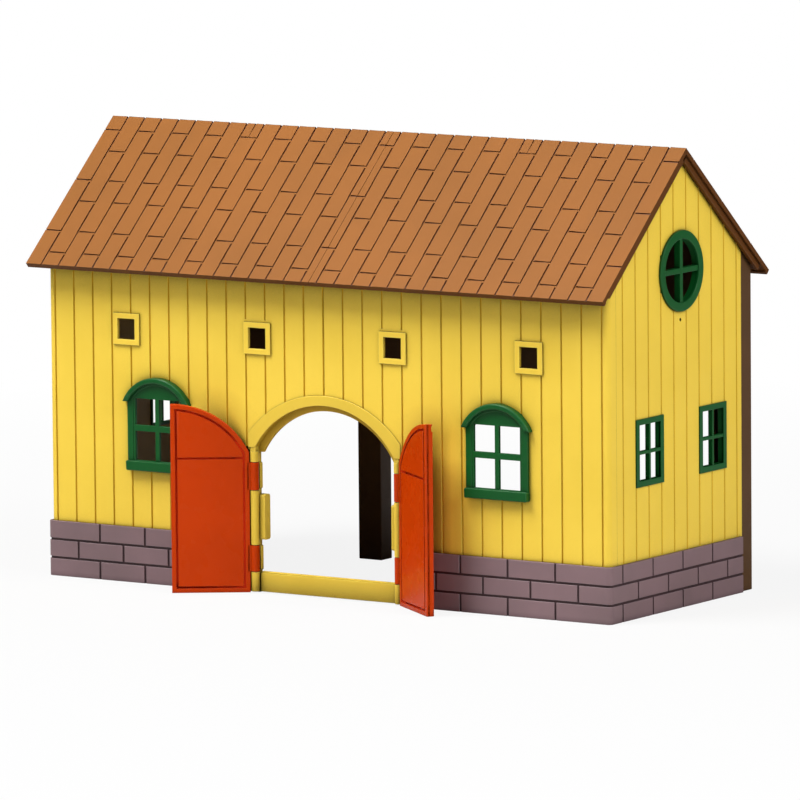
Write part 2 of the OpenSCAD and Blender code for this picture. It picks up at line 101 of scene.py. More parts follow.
def rbox(a, b, r=0.3, mat=0, seg=2):
    """Box from corner to corner with rounded edges."""
    bm = bmesh.new()
    bmesh.ops.create_cube(bm, size=1.0)
    for v in bm.verts:
        v.co = [(a[i] + b[i]) / 2 + v.co[i] * (b[i] - a[i]) for i in range(3)]
    if r > 0:
        bmesh.ops.bevel(bm, geom=bm.edges[:], offset=r, segments=seg, profile=0.5, affect="EDGES")
    bm.verts.index_update()
    g = Geo().add([v.co[:] for v in bm.verts], [[v.index for v in f.verts] for f in bm.faces], mat)
    bm.free()
    return g


def arc(cx, cz, r, a0, a1, n=48):
    """Points on a circle from angle a0 to a1, in degrees."""
    return [(cx + r * math.cos(math.radians(a0 + (a1 - a0) * i / n)),
             cz + r * math.sin(math.radians(a0 + (a1 - a0) * i / n))) for i in range(n + 1)]


def circle(cx, cz, r, n=96):
    return arc(cx, cz, r, 0, 360, n)[:-1]


def rect(x0, z0, x1, z1):
    return [(x0, z0), (x1, z0), (x1, z1), (x0, z1)]


def round_rect(x0, z0, x1, z1, r, n=6):
    return (arc(x1 - r, z0 + r, r, -90, 0, n) + arc(x1 - r, z1 - r, r, 0, 90, n)
            + arc(x0 + r, z1 - r, r, 90, 180, n) + arc(x0 + r, z0 + r, r, 180, 270, n))


def plate(loops, lo, hi, r=0.25, axis="y", mat=0, seg=2):
    """Flat piece with rounded edges: outline and holes in a plane, from lo to hi along the axis."""
    cu = bpy.data.curves.new("plate", "CURVE")
    cu.dimensions = "2D"
    cu.fill_mode = "BOTH"
    for loop in loops:
        sp = cu.splines.new("POLY")
        sp.points.add(len(loop) - 1)
        for q, (x, z) in zip(sp.points, loop):
            q.co = (x, z, 0, 1)
        sp.use_cyclic_u = True
    r = min(r, (hi - lo) / 2 - 0.01)
    cu.extrude = (hi - lo) / 2 - r
    cu.bevel_depth = r
    cu.bevel_resolution = seg
    cu.offset = -r
    ob = bpy.data.objects.new("plate", cu)
    bpy.context.scene.collection.objects.link(ob)
    dg = bpy.context.evaluated_depsgraph_get()
    me = bpy.data.meshes.new_from_object(ob.evaluated_get(dg))
    bm = bmesh.new()
    bm.from_mesh(me)
    bmesh.ops.remove_doubles(bm, verts=bm.verts[:], dist=0.002)
    bmesh.ops.recalc_face_normals(bm, faces=bm.faces[:])
    bm.verts.index_update()
    mid = (lo + hi) / 2
    turn = {"y": lambda x, y, z: (x, mid - z, y), "x": lambda x, y, z: (mid + z, x, y),
            "z": lambda x, y, z: (x, y, mid + z)}[axis]
    g = Geo().add([turn(*v.co) for v in bm.verts], [[v.index for v in f.verts] for f in bm.faces], mat)
    bm.free()
    bpy.data.objects.remove(ob)
    bpy.data.curves.remove(cu)
    bpy.data.meshes.remove(me)
    return g


def rod(x, y, z0, z1, r, edge=0.3, mat=0, n=56):
    """Upright round bar with rounded ends."""
    prof = [(0.0, z0), (r - edge, z0), (r - edge * 0.3, z0 + edge * 0.3), (r, z0 + edge),
            (r, z1 - edge), (r - edge * 0.3, z1 - edge * 0.3), (r - edge, z1), (0.0, z1)]
    v = [(x, y, z0)] + [(x + q * math.cos(2 * math.pi * k / n), y + q * math.sin(2 * math.pi * k / n), z)
                        for q, z in prof[1:-1] for k in range(n)] + [(x, y, z1)]
    f = []
    for k in range(n):
        k2 = (k + 1) % n
        f.append([0, 1 + k2, 1 + k])
        f.append([len(v) - 1, 1 + 5 * n + k, 1 + 5 * n + k2])
        for j in range(5):
            f.append([1 + j * n + k, 1 + j * n + k2, 1 + (j + 1) * n + k2, 1 + (j + 1) * n + k])
    return Geo().add(v, f, mat)


def loft(pairs, z0, top, mats):
    """Upright sheet along a path of (outer point, inner point) pairs, cut off under the roof."""
    g = Geo()
    n = len(pairs)
    for (ox, oy), (ix, iy) in pairs:
        g.v += [(ox, oy, z0), (ox, oy, top(oy)), (ix, iy, top(iy)), (ix, iy, z0)]
    for i in range(n - 1):
        a, b = 4 * i, 4 * i + 4
        g.f += [[a, b, b + 1, a + 1], [a + 1, b + 1, b + 2, a + 2], [a + 2, b + 2, b + 3, a + 3], [a + 3, b + 3, b, a]]
        g.m += [mats[i], 0, 2, 0]
    g.f += [[0, 1, 2, 3], [4 * n - 1, 4 * n - 2, 4 * n - 3, 4 * n - 4]]
    g.m += [0, 0]
    return g


def to_mesh(g, name, weld=0.0):
    me = bpy.data.meshes.new(name)
    me.from_pydata([(x / 1000, (y + Y0) / 1000, z / 1000) for x, y, z in g.v], [], g.f)
    me.polygons.foreach_set("material_index", g.m)
    bm = bmesh.new()
    bm.from_mesh(me)
    if weld:
        bmesh.ops.remove_doubles(bm, verts=bm.verts[:], dist=weld / 1000)
        bmesh.ops.dissolve_degenerate(bm, edges=bm.edges[:], dist=1e-7)
        bmesh.ops.recalc_face_normals(bm, faces=bm.faces[:])
    bm.to_mesh(me)
    bm.free()
    me.update()
    return me


def mark_rims(me):
    """Marks the narrow rounded faces along outer edges, which the materials lighten as a painted highlight."""
    bm = bmesh.new()
    bm.from_mesh(me)
    bm.normal_update()
    rims = []
    for f in bm.faces:
        longest = max(e.calc_length() for e in f.edges)
        hit = 0.0
        if longest > 0 and f.calc_area() / longest < 0.0005:
            c = f.calc_center_median()
            turns = [(g.normal.angle(f.normal, 0), (g.calc_center_median() - c).dot(f.normal))
                     for e in f.edges if e.calc_length() > longest * 0.5 for g in e.link_faces if g is not f]
            if turns and max(t for t, d in turns) > 0.15 and all(d < 1e-7 for t, d in turns):
                hit = 1.0
        rims.append(hit)
    bm.free()
    at = me.attributes.new("rim", "FLOAT", "FACE")
    at.data.foreach_set("value", rims)


def piece(g, nodes, body, mats, weld=0.0, cuts=None, bevel=0.0, smooth=38):
    """A finished object that stands for CAD nodes and rides on a body."""
    name = "v_" + nodes[0]
    ob = bpy.data.objects.new(name, to_mesh(g, name, weld))
    bpy.context.scene.collection.objects.link(ob)
    for m in mats:
        ob.data.materials.append(MAT[m])
    if cuts:
        cutter = bpy.data.objects.new("cut", to_mesh(cuts, "cut", 0.002))
        bpy.context.scene.collection.objects.link(cutter)
        mod = ob.modifiers.new("holes", "BOOLEAN")
        mod.operation, mod.solver, mod.object = "DIFFERENCE", "EXACT", cutter
        mod.use_self = True
        dg = bpy.context.evaluated_depsgraph_get()
        me = bpy.data.meshes.new_from_object(ob.evaluated_get(dg))
        ob.modifiers.clear()
        ob.data = me
        bpy.data.objects.remove(cutter)
    for q in ob.data.polygons:
        q.use_smooth = True
    mark_rims(ob.data)
    if bevel:
        mod = ob.modifiers.new("soft edges", "BEVEL")
        mod.width, mod.segments, mod.limit_method = bevel / 1000, 2, "ANGLE"
        mod.angle_limit = math.radians(50)
        mod.harden_normals = True
    else:
        ob.data.set_sharp_from_angle(angle=math.radians(smooth))
        mod = ob.modifiers.new("even shading", "WEIGHTED_NORMAL")
        mod.keep_sharp = True
    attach(ob, body)
    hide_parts(*nodes)
    return ob


# ---------------------------------------------------------------- materials
MAT = {}


def plastic(name, base, rough=0.36, vary=0.05, hue=None, grain=0.12, crevice_shade=0.6, rim_highlight=0.35, coat=0.15, spec=0.5, reach=3.5):
    """Moulded plastic: cloudy tone, fine grain, uneven gloss, painted shade in crevices and under overhangs, and
    painted highlights on rounded edges.
    """
    m = bpy.data.materials.new(name)
    m.use_nodes = True
    nt = m.node_tree
    b = nt.nodes["Principled BSDF"]
    N = nt.nodes.new

    def link(a, i):
        nt.links.new(a, i)

    tc = N("ShaderNodeTexCoord")
    cloud = N("ShaderNodeTexNoise")
    cloud.inputs["Scale"].default_value = 16
    cloud.inputs["Detail"].default_value = 4
    cloud.inputs["Roughness"].default_value = 0.55
    link(tc.outputs["Object"], cloud.inputs["Vector"])
    ramp = N("ShaderNodeValToRGB")
    lo = hue or tuple(c * (1 - vary * 2) for c in base)
    ramp.color_ramp.elements[0].position = 0.32
    ramp.color_ramp.elements[0].color = (*lo, 1)
    ramp.color_ramp.elements[1].position = 0.68
    ramp.color_ramp.elements[1].color = (*(min(1, c * (1 + vary)) for c in base), 1)
    link(cloud.outputs["Fac"], ramp.inputs["Fac"])
    # painted shade: ambient occlusion darkens crevices and recesses, and with a long reach also the wall under the
    # eaves
    ao = N("ShaderNodeAmbientOcclusion")
    ao.samples = 4
    ao.inputs["Distance"].default_value = reach / 1000
    fall = N("ShaderNodeMapRange")
    fall.inputs["From Min"].default_value = 0.25
    fall.inputs["From Max"].default_value = 0.95
    fall.inputs["To Min"].default_value = 1 - crevice_shade
    fall.inputs["To Max"].default_value = 1.0
    link(ao.outputs["AO"], fall.inputs["Value"])
    mul = N("ShaderNodeVectorMath")
    mul.operation = "SCALE"
    link(ramp.outputs["Color"], mul.inputs[0])
    link(fall.outputs["Result"], mul.inputs["Scale"])
    # painted highlight: the narrow rounded rim faces are lightened, in patches set by a noise
    edge = N("ShaderNodeAttribute")
    edge.attribute_name = "rim"
    emap = N("ShaderNodeMath")
    emap.operation = "MULTIPLY"
    emap.inputs[1].default_value = rim_highlight
    link(edge.outputs["Fac"], emap.inputs[0])
    spots = N("ShaderNodeTexNoise")
    spots.inputs["Scale"].default_value = 140
    spots.inputs["Detail"].default_value = 3
    link(tc.outputs["Object"], spots.inputs["Vector"])
    rim_glint = N("ShaderNodeMath")
    rim_glint.operation = "MULTIPLY"
    link(emap.outputs["Value"], rim_glint.inputs[0])
    link(spots.outputs["Fac"], rim_glint.inputs[1])
    mix = N("ShaderNodeMix")
    mix.data_type = "RGBA"
    link(rim_glint.outputs["Value"], mix.inputs["Factor"])
    link(mul.outputs["Vector"], mix.inputs["A"])
    mix.inputs["B"].default_value = (*(min(1, c * 1.25 + 0.10) for c in base), 1)
    link(mix.outputs["Result"], b.inputs["Base Color"])
    # uneven gloss
    gloss = N("ShaderNodeTexNoise")
    gloss.inputs["Scale"].default_value = 55
    gloss.inputs["Detail"].default_value = 5
    link(tc.outputs["Object"], gloss.inputs["Vector"])
    gm = N("ShaderNodeMapRange")
    gm.inputs["To Min"].default_value = max(0.05, rough - 0.09)
    gm.inputs["To Max"].default_value = rough + 0.09
    link(gloss.outputs["Fac"], gm.inputs["Value"])
    link(gm.outputs["Result"], b.inputs["Roughness"])
    # fine grain and a slight waviness of the moulded faces
    fine = N("ShaderNodeTexNoise")
    fine.inputs["Scale"].default_value = 1500
    fine.inputs["Detail"].default_value = 2
    link(tc.outputs["Object"], fine.inputs["Vector"])
    wave = N("ShaderNodeTexNoise")
    wave.inputs["Scale"].default_value = 38
    wave.inputs["Detail"].default_value = 1
    link(tc.outputs["Object"], wave.inputs["Vector"])
    b1 = N("ShaderNodeBump")
    b1.inputs["Strength"].default_value = grain
    b1.inputs["Distance"].default_value = 0.00008
    link(fine.outputs["Fac"], b1.inputs["Height"])
    b2 = N("ShaderNodeBump")
    b2.inputs["Strength"].default_value = 0.22
    b2.inputs["Distance"].default_value = 0.0004
    link(wave.outputs["Fac"], b2.inputs["Height"])
    link(b1.outputs["Normal"], b2.inputs["Normal"])
    link(b2.outputs["Normal"], b.inputs["Normal"])
    b.inputs["Specular IOR Level"].default_value = spec
    b.inputs["Coat Weight"].default_value = coat
    b.inputs["Coat Roughness"].default_value = 0.22
    MAT[name] = m
    return m


# the wall yellow darkens strongly over a 19 mm reach: painted shade under the eaves and beside frames and vents
plastic("yellow", (0.90, 0.63, 0.072), rough=0.42, vary=0.03, hue=(0.87, 0.60, 0.062), crevice_shade=0.97, coat=0.0, spec=0.16, reach=19)
# darker copy of the wall yellow for the groove walls and floors: painted shade in the board grooves
plastic("yellow_groove_shaded", (0.84, 0.52, 0.030), rough=0.5, vary=0.05, crevice_shade=0.35, rim_highlight=0.1, coat=0.0, spec=0.2, reach=10)
# darker copy of the wall yellow for the door frame: painted shade
plastic("yellow_frame_shaded", (0.79, 0.55, 0.060), rough=0.42, vary=0.03, crevice_shade=0.9, coat=0.0, spec=0.15, reach=12)
# dark copy of the wall yellow for the arch reveal and collar: painted shade under the arch
plastic("yellow_reveal_shade", (0.60, 0.37, 0.025), rough=0.5, vary=0.05, crevice_shade=0.55, rim_highlight=0.25, coat=0.0, spec=0.2, reach=10)
# dark copy of the wall yellow for the inside faces and corner brackets: painted shade inside the barn
plastic("yellow_inner_shade", (0.33, 0.185, 0.017), rough=0.55, vary=0.10, crevice_shade=0.6, rim_highlight=0.1, coat=0.0)
plastic("brick", (0.225, 0.143, 0.155), rough=0.46, vary=0.06, hue=(0.19, 0.125, 0.132), crevice_shade=0.55, rim_highlight=0.5, coat=0.0, spec=0.25)
plastic("mortar", (0.045, 0.017, 0.021), rough=0.6, vary=0.1, crevice_shade=0.3, rim_highlight=0.0, coat=0.0)
plastic("tile", (0.283, 0.099, 0.0155), rough=0.48, vary=0.05, hue=(0.257, 0.092, 0.0145), crevice_shade=0.35, rim_highlight=0.0, coat=0.0, spec=0.18)
# dark copy of the roof brown for the sunk shingle lines: painted shade in the grooves
plastic("tile_groove_shade", (0.15, 0.034, 0.002), rough=0.55, vary=0.1, crevice_shade=0.3, rim_highlight=0.0, coat=0.0)
# dark copy of the roof brown for the panel edges, underside, ribs and drip edge: painted shade under the roof
plastic("tile_edge_shade", (0.115, 0.037, 0.005), rough=0.5, vary=0.05, crevice_shade=0.5, rim_highlight=0.25, coat=0.0, spec=0.15)
plastic("timber", (0.100, 0.047, 0.017), rough=0.42, vary=0.10, crevice_shade=0.5, rim_highlight=0.4, coat=0.0, spec=0.15)
plastic("green", (0.004, 0.090, 0.016), rough=0.33, vary=0.07, crevice_shade=0.6, rim_highlight=0.2, coat=0.0, spec=0.18)
plastic("red", (0.535, 0.042, 0.0002), rough=0.27, vary=0.04, crevice_shade=0.5, rim_highlight=0.12, coat=0.0, spec=0.09)
# lighter, more saturated copy of the leaf red for the sunk lines and groove floors: painted light that offsets their
# shade
plastic("red_groove_lit", (0.70, 0.028, 0.0005), rough=0.5, vary=0.08, crevice_shade=0.1, rim_highlight=0.0, coat=0.0, spec=0.1)
steel = plastic("steel", (0.60, 0.61, 0.63), rough=0.30, vary=0.04, crevice_shade=0.4, rim_highlight=0.2, coat=0.0)
steel.node_tree.nodes["Principled BSDF"].inputs["Metallic"].default_value = 1.0

# --------------------------------------------------------------- front wall
PROFILE = [(-.80, 0), (-.68, .05), (-.54, .25), (-.40, .62), (-.22, .86), (0, .9),
           (.22, .86), (.40, .62), (.54, .25), (.68, .05), (.80, 0)]


def front_pairs():
    pts, mats = [], []

    def put(o, i, m=0):
        pts.append((o, i))
        mats.append(m)
    for i in range(15):
        for dx, d in PROFILE:
            x = i * P + dx
            if x < 0 or (i == 0 and dx < 0):
                continue
            put((max(x, 0.06), d), (max(x, 0.06), WALL), 1 if d > 0.1 else 0)
        if i < 14:
            put(((i + 0.5) * P, 0), ((i + 0.5) * P, WALL))
    inner = (WX - WALL, WALL)
    for x, y in arc(WX - CORNER, CORNER, CORNER, -90, 0, 10):
        put((x, y), (min(x, inner[0]), max(WALL, WALL if x <= inner[0] else min(y, WALL))))
    put((WX, SEAM_Y - 0.05), (WX - WALL, SEAM_Y - 0.05))
    return pts, mats


def aw_outline(c, half, r, z0):
    a = math.degrees(math.acos(min(1, half / r)))
    zc = 7.12 * P
    return [(c - half, z0), (c + half, z0)] + arc(c, zc, r, a, 180 - a, 32)


AW_L, AW_R = 8.60 * P, 8.83 * P
VENT_L, VENT_R = [3.38 * P, 10.21 * P], [3.56 * P, 10.41 * P]
VENT_Z = 11.045 * P


def prism(loop, lo, hi, axis="y"):
    """Plain prism, for cutting."""
    n = len(loop)
    t = {"y": lambda q, w: (q[0], w, q[1]), "x": lambda q, w: (w, q[0], q[1]), "z": lambda q, w: (q[0], q[1], w)}[axis]
    v = [t(q, lo) for q in loop] + [t(q, hi) for q in loop]
    f = [list(range(n)), list(range(2 * n - 1, n - 1, -1))]
    f += [[i, n + i, n + (i + 1) % n, (i + 1) % n] for i in range(n)]
    return Geo().add(v, f)


def front_cuts(aw_x, vents):
    g = Geo()
    a = math.degrees(math.asin((FOOT - ARCH_Z) / (4.375 * P)))
    hole = [(JAMB, -P), (JAMB, FOOT)] + arc(0, ARCH_Z, 4.375 * P, a, 105, 48) + [(-2 * P, -P)]
    g.join(prism(hole, -5, WALL + 5))
    g.join(prism(aw_outline(aw_x, 1.36 * P, 1.62 * P, 5.2 * P), -5, WALL + 5))
    for x in vents:
        g.join(prism(rect(x - 0.61 * P, VENT_Z - 0.61 * P, x + 0.61 * P, VENT_Z + 0.61 * P), -5, WALL + 5))
    return g


for s, side in ((1, "right"), (-1, "left")):
    pairs, mats = front_pairs()
    w = loft(pairs, PLINTH_Z, lambda y: under(y) - 0.15, mats)
    vents = VENT_R if s > 0 else VENT_L
    cuts = front_cuts(AW_R if s > 0 else AW_L, vents)
    # foot beside the doorway, and the flush strip where the board line stops above the inner vent
    extra = Geo().join(rbox((JAMB, 0.05, 0.05), (LEG, WALL, PLINTH_Z + 0.1), 0.1))
    extra.join(rbox((vents[0] - 0.72 * P, -0.01, 11.62 * P), (vents[0] + 0.72 * P, 1.6, 11.84 * P), 0))
    if s < 0:
        w, cuts, extra = w.mirrored(), cuts.mirrored(), extra.mirrored()
    piece(w, ["front_wall_" + side], "barn", ["yellow", "yellow_groove_shaded", "yellow_inner_shade"], weld=0.003, cuts=cuts)
    piece(extra, ["front_wall_" + side], "barn", ["yellow"])

# ---------------------------------------------------------------- gable wall
GW_Y = [3.225 * P, 8.315 * P]
GW_Z0, GW_Z1, GW_W = 5.53 * P, 8.41 * P, 2.19 * P
RW_Z, RW_R = 14.37 * P, 1.733 * P


def gable_pairs():
    rows = [(SEAM_Y + 0.1, 0, 0)]
    for j in range(10):
        y = (1.126 + 1.02 * j) * P
        rows += [(y + dy, d, 1 if d > 0.1 else 0) for dy, d in PROFILE]
    rows += [(RIDGE_Y, 0, 0), (GY1, 0, 0)]
    rows.sort()
    return [((WX - d, y), (WX - WALL, y)) for y, d, m in rows], [m for y, d, m in rows]


def gable_cuts():
    g = Geo()
    for y in GW_Y:
        g.join(prism(rect(y - GW_W / 2 + 0.13 * P, GW_Z0 + 0.13 * P, y + GW_W / 2 - 0.13 * P, GW_Z1 - 0.13 * P), WX - WALL - 4, WX + 4, "x"))
    g.join(prism(circle(RIDGE_Y, RW_Z, 1.56 * P, 72), WX - WALL - 4, WX + 4, "x"))
    g.join(prism(circle(5.74 * P, 12.29 * P, 0.075 * P, 24), WX - WALL - 4, WX + 4, "x"))
    return g


for s, side in ((1, "right"), (-1, "left")):
    pairs, mats = gable_pairs()
    w, cuts = loft(pairs, PLINTH_Z, lambda y: under(y) - 0.15, mats), gable_cuts()
    if s < 0:
        w, cuts = w.mirrored(), cuts.mirrored()
    piece(w, ["gable_wall_" + side], "barn", ["yellow", "yellow_groove_shaded", "yellow_inner_shade"], weld=0.003, cuts=cuts)


# -------------------------------------------------------------------- plinth
S1 = WX + BRICK_OUT - CORNER
S2 = S1 + CORNER * math.pi / 2


def along_plinth(s, h):
    """Point on the plinth face at distance s along it, h in front of the bricks."""
    if s < S1:
        return (s, -BRICK_OUT - h)
    if s < S2:
        a = (s - S1) / CORNER - math.pi / 2
        return (S1 + (CORNER + h) * math.cos(a), CORNER - BRICK_OUT + (CORNER + h) * math.sin(a))
    return (WX + BRICK_OUT + h, CORNER - BRICK_OUT + s - S2)


def brick(s0, s1, z0, z1):
    edge = [(0.0, -1.0), (0.0, -0.30), (0.07, -0.10), (0.24, 0.0)]

    def lines(a, b, step):
        n = max(1, int((b - a - 0.6) / step))
        mid = [a + 0.3 + (b - a - 0.6) * i / n for i in range(n + 1)]
        return ([(a + i, h) for i, h in edge] + [(q, 0.0) for q in mid] + [(b - i, h) for i, h in reversed(edge)])
    ls = lines(s0, s1, 0.7 if s1 > S1 and s0 < S2 else 12.0)
    lz = lines(z0, z1, 20.0)
    v, f = [], []
    for q, hs in ls:
        for z, hz in lz:
            x, y = along_plinth(q, min(hs, hz))
            v.append((x, y, z))
    n = len(lz)
    for i in range(len(ls) - 1):
        for j in range(n - 1):
            f.append([i * n + j, (i + 1) * n + j, (i + 1) * n + j + 1, i * n + j + 1])
    return Geo().add(v, f)


for s, side in ((1, "right"), (-1, "left")):
    end = S2 + PLY1 - (CORNER - BRICK_OUT)
    g = Geo()
    qs = [LEG + 0.05, S1] + [S1 + (S2 - S1) * i / 10 for i in range(1, 11)] + [end - 0.05]
    pairs = []
    for q in qs:
        o = along_plinth(q, -MORTAR_D)
        pairs.append((o, (o[0], WALL) if q <= S1 else ((min(o[0], WX - WALL), WALL) if q < S2 else (WX - WALL, max(WALL, o[1])))))
    back = loft(pairs, 0.04, lambda y: PLINTH_Z - 0.04, [1] * len(pairs))
    back.m = [1 if m == 1 else 0 for m in back.m]
    g.join(back)
    for k in range(3):
        f0, s0 = (12.84, 2.09) if k == 1 else (11.70, 0.86)
        cutsx = sorted([(f0 - 2.38 * j) * P for j in range(4) if f0 - 2.38 * j > 4.7])
        cutsy = [S2 + (s0 + 2.41 * j) * P - (CORNER - BRICK_OUT) for j in range(5) if s0 + 2.41 * j < 10.2]
        b = [LEG - MORTAR_W / 2] + cutsx + cutsy + [end + MORTAR_W / 2]
        z0 = k * PLINTH_Z / 3 + (0 if k == 0 else MORTAR_W / 2)
        z1 = (k + 1) * PLINTH_Z / 3 - (0 if k == 2 else MORTAR_W / 2)
        for a, c in zip(b, b[1:]):
            g.join(brick(a + MORTAR_W / 2, c - MORTAR_W / 2, z0, z1), mat=0)
    # the backing sheet drawn above has top and bottom faces in brick colour that close the bricks
    if s < 0:
        g = g.mirrored()
    piece(g, ["plinth_" + side], "barn", ["brick", "mortar"], weld=0.001, smooth=50)

# ---------------------------------------------------------------- door frame
R_OUT = 5.033 * P
BAND_C = 3.745 * P


def band_loop():
    a = math.degrees(math.asin((6.95 * P - BAND_C) / R_OUT))
    ai = math.degrees(math.asin((6.32 * P - ARCH_Z) / ARCH_R))
    out = [(3.90 * P, 6.32 * P), (3.90 * P, 6.93 * P)] + arc(0, BAND_C, R_OUT, a + 0.5, 180 - a - 0.5, 72) + [(-3.90 * P, 6.93 * P), (-3.90 * P, 6.32 * P)]
    return out + arc(0, ARCH_Z, ARCH_R, 180 - ai, ai, 72)


def ring_loop(zi, ri, zo, ro, z0):
    ao = math.degrees(math.asin((z0 - zo) / ro))
    ai = math.degrees(math.asin((z0 - zi) / ri))
    return arc(0, zo, ro, ao, 180 - ao, 72) + arc(0, zi, ri, 180 - ai, ai, 72)


def frame_side():
    g = Geo()
    g.join(rbox((3.62 * P, 0.33 * P, 0.02), (4.50 * P, 0.55 * P, FOOT), 0.25))
    for z0, z1 in LEAF_K:
        g.join(plate([round_rect(3.56 * P, (z0 + 0.02) * P, 3.9 * P, (z1 - 0.02) * P, 0.08 * P)], 0.331 * P, 0.548 * P, 0.2))
    for z0, z1 in FRAME_K:
        g.join(rod(AX, AY, z0 * P, z1 * P, BARREL, 0.35))
        g.join(rbox((3.56 * P, AY, z0 * P + 0.05), (3.82 * P, 0.345 * P, z1 * P - 0.05), 0.3))
    g.join(rbox((AX - 0.14 * P, -0.03 * P, 5.85 * P), (AX + 0.12 * P, 0.34 * P, 6.5 * P), 0.3))
    g.join(rbox((AX + 0.02 * P, 0.03 * P, 6.21 * P), (AX + 0.255 * P, 0.345 * P, 6.47 * P), 0.15))
    g.join(plate([round_rect(0.21 * P, 2.3 * P, 0.65 * P, 4.27 * P, 0.11 * P)], 3.25 * P, 3.60 * P, 0.3, "x"))
    return g


g = Geo()
g.join(plate([band_loop()], -0.06 * P, 0.35, 0.35))
g.join(plate([ring_loop(ARCH_Z, ARCH_R + 0.04, ARCH_Z, 4.36 * P, FOOT + 0.05)], -0.2, 0.285 * P, 0.2), mat=1)
g.join(plate([ring_loop(4.25 * P, 3.82 * P, ARCH_Z, 4.36 * P, 6.1 * P)], 0.28 * P, 0.46 * P, 0.35), mat=1)
one = frame_side()
g.join(one)
g.join(one.mirrored())
piece(g, ["door_frame"], "barn", ["yellow_frame_shaded", "yellow_reveal_shade"])

g = Geo()
g.join(rbox((-3.49 * P, 0.205 * P, 0.05 * P), (3.49 * P, 0.46 * P, 0.86 * P), 0.35))
g.join(rbox((-3.485 * P, 0.245 * P, 0.5 * P), (3.485 * P, 0.45 * P, 0.92 * P), 0.35))
g.join(rbox((-3.54 * P, 0.32 * P, 0.06 * P), (3.54 * P, 0.44 * P, 0.90 * P), 0.2))
piece(g, ["threshold"], "barn", ["yellow"])

g = Geo()
for c in [-x for x in VENT_L] + VENT_R:
    g.join(plate([rect(c - 0.69 * P, VENT_Z - 0.69 * P, c + 0.69 * P, VENT_Z + 0.69 * P),
                  rect(c - 0.44 * P, VENT_Z - 0.45 * P, c + 0.44 * P, VENT_Z + 0.45 * P)], -0.09 * P, 1.2, 0.5, seg=3))
    g.join(plate([rect(c - 0.6 * P, VENT_Z - 0.6 * P, c + 0.6 * P, VENT_Z + 0.6 * P),
                  rect(c - 0.51 * P, VENT_Z - 0.51 * P, c + 0.51 * P, VENT_Z + 0.51 * P)], -0.02, 0.10 * P, 0.1))
piece(g, ["vent_frames"], "barn", ["yellow"])


# ------------------------------------------------------------------- windows
def panes(c):
    out = []
    for sx in (-1, 1):
        for z0, z1 in ((5.375, 6.65), (6.92, 8.07)):
            a, b = sorted((sx * 0.108, sx * 1.1535))
            out.append(rect(c + a * P, z0 * P, c + b * P, z1 * P))
    return out


for s, side in ((1, "right"), (-1, "left")):
    c = AW_R if s > 0 else -AW_L
    g = Geo()
    g.join(plate([aw_outline(c, 1.34 * P, 1.60 * P, 5.215 * P)] + panes(c), -0.12 * P, 0.03 * P, 0.3))
    g.join(plate([aw_outline(c, 1.34 * P, 1.60 * P, 5.215 * P), aw_outline(c, 1.275 * P, 1.535 * P, 5.285 * P)], 0.0, WALL + 0.4, 0.15))
    g.join(plate([aw_outline(c, 1.55 * P, 1.80 * P, 5.0 * P), aw_outline(c, 1.25 * P, 1.55 * P, 5.2 * P)], -0.15 * P, 1.5, 0.4))
    a = math.degrees(math.asin(0.80 / 1.90))
    b = math.degrees(math.asin(0.80 / 1.65))
    zc = 7.12 * P
    g.join(plate([arc(c, zc, 1.90 * P, a, 180 - a, 48) + arc(c, zc, 1.65 * P, 180 - b, b, 48)], -0.32 * P, 1.5, 1.0, seg=4))
    g.join(plate([round_rect(c - 1.57 * P, 4.93 * P, c + 1.57 * P, 5.36 * P, 0.08 * P)], -0.30 * P, 1.5, 0.7, seg=3))
    piece(g, ["arched_window_" + side], "barn", ["green"])
    for y, end in zip(GW_Y, ("front", "back")):
        def o(i):
            return rect(y - GW_W / 2 + i * P, GW_Z0 + i * P, y + GW_W / 2 - i * P, GW_Z1 - i * P)
        zm = (GW_Z0 + GW_Z1) / 2
        g = Geo()
        g.join(plate([o(0), o(0.25)], WX - 1.2, WX + 0.05 * P, 0.3, "x"))
        g.join(plate([o(0.14), o(0.25)], WX - 3.6, WX + 0.02, 0.15, "x"))
        g.join(rbox((WX - 0.19 * P, y - 0.9, GW_Z0 + 0.2 * P), (WX + 0.03 * P, y + 0.9, GW_Z1 - 0.2 * P), 0.3))
        g.join(rbox((WX - 0.185 * P, y - GW_W / 2 + 0.2 * P, zm - 0.99), (WX + 0.025 * P, y + GW_W / 2 - 0.2 * P, zm + 0.99), 0.3))
        if s < 0:
            g = g.mirrored()
        piece(g, [f"gable_window_{side}_{end}"], "barn", ["green"])
    g = Geo()
    g.join(plate([circle(RIDGE_Y, RW_Z, RW_R), circle(RIDGE_Y, RW_Z, 1.35 * P)], WX - 1.2, WX + 0.11 * P, 0.5, "x", seg=3))
    g.join(plate([circle(RIDGE_Y, RW_Z, 1.55 * P), circle(RIDGE_Y, RW_Z, 1.35 * P)], WX - 3.6, WX + 0.02, 0.15, "x"))
    g.join(rbox((WX - 0.24 * P, RIDGE_Y - 0.115 * P, RW_Z - 1.38 * P), (WX + 0.06 * P, RIDGE_Y + 0.115 * P, RW_Z + 1.38 * P), 0.3))
    g.join(rbox((WX - 0.235 * P, RIDGE_Y - 1.38 * P, RW_Z - 0.115 * P), (WX + 0.055 * P, RIDGE_Y + 1.38 * P, RW_Z + 0.115 * P), 0.3))
    if s < 0:
        g = g.mirrored()
    piece(g, ["round_window_" + side], "barn", ["green"])


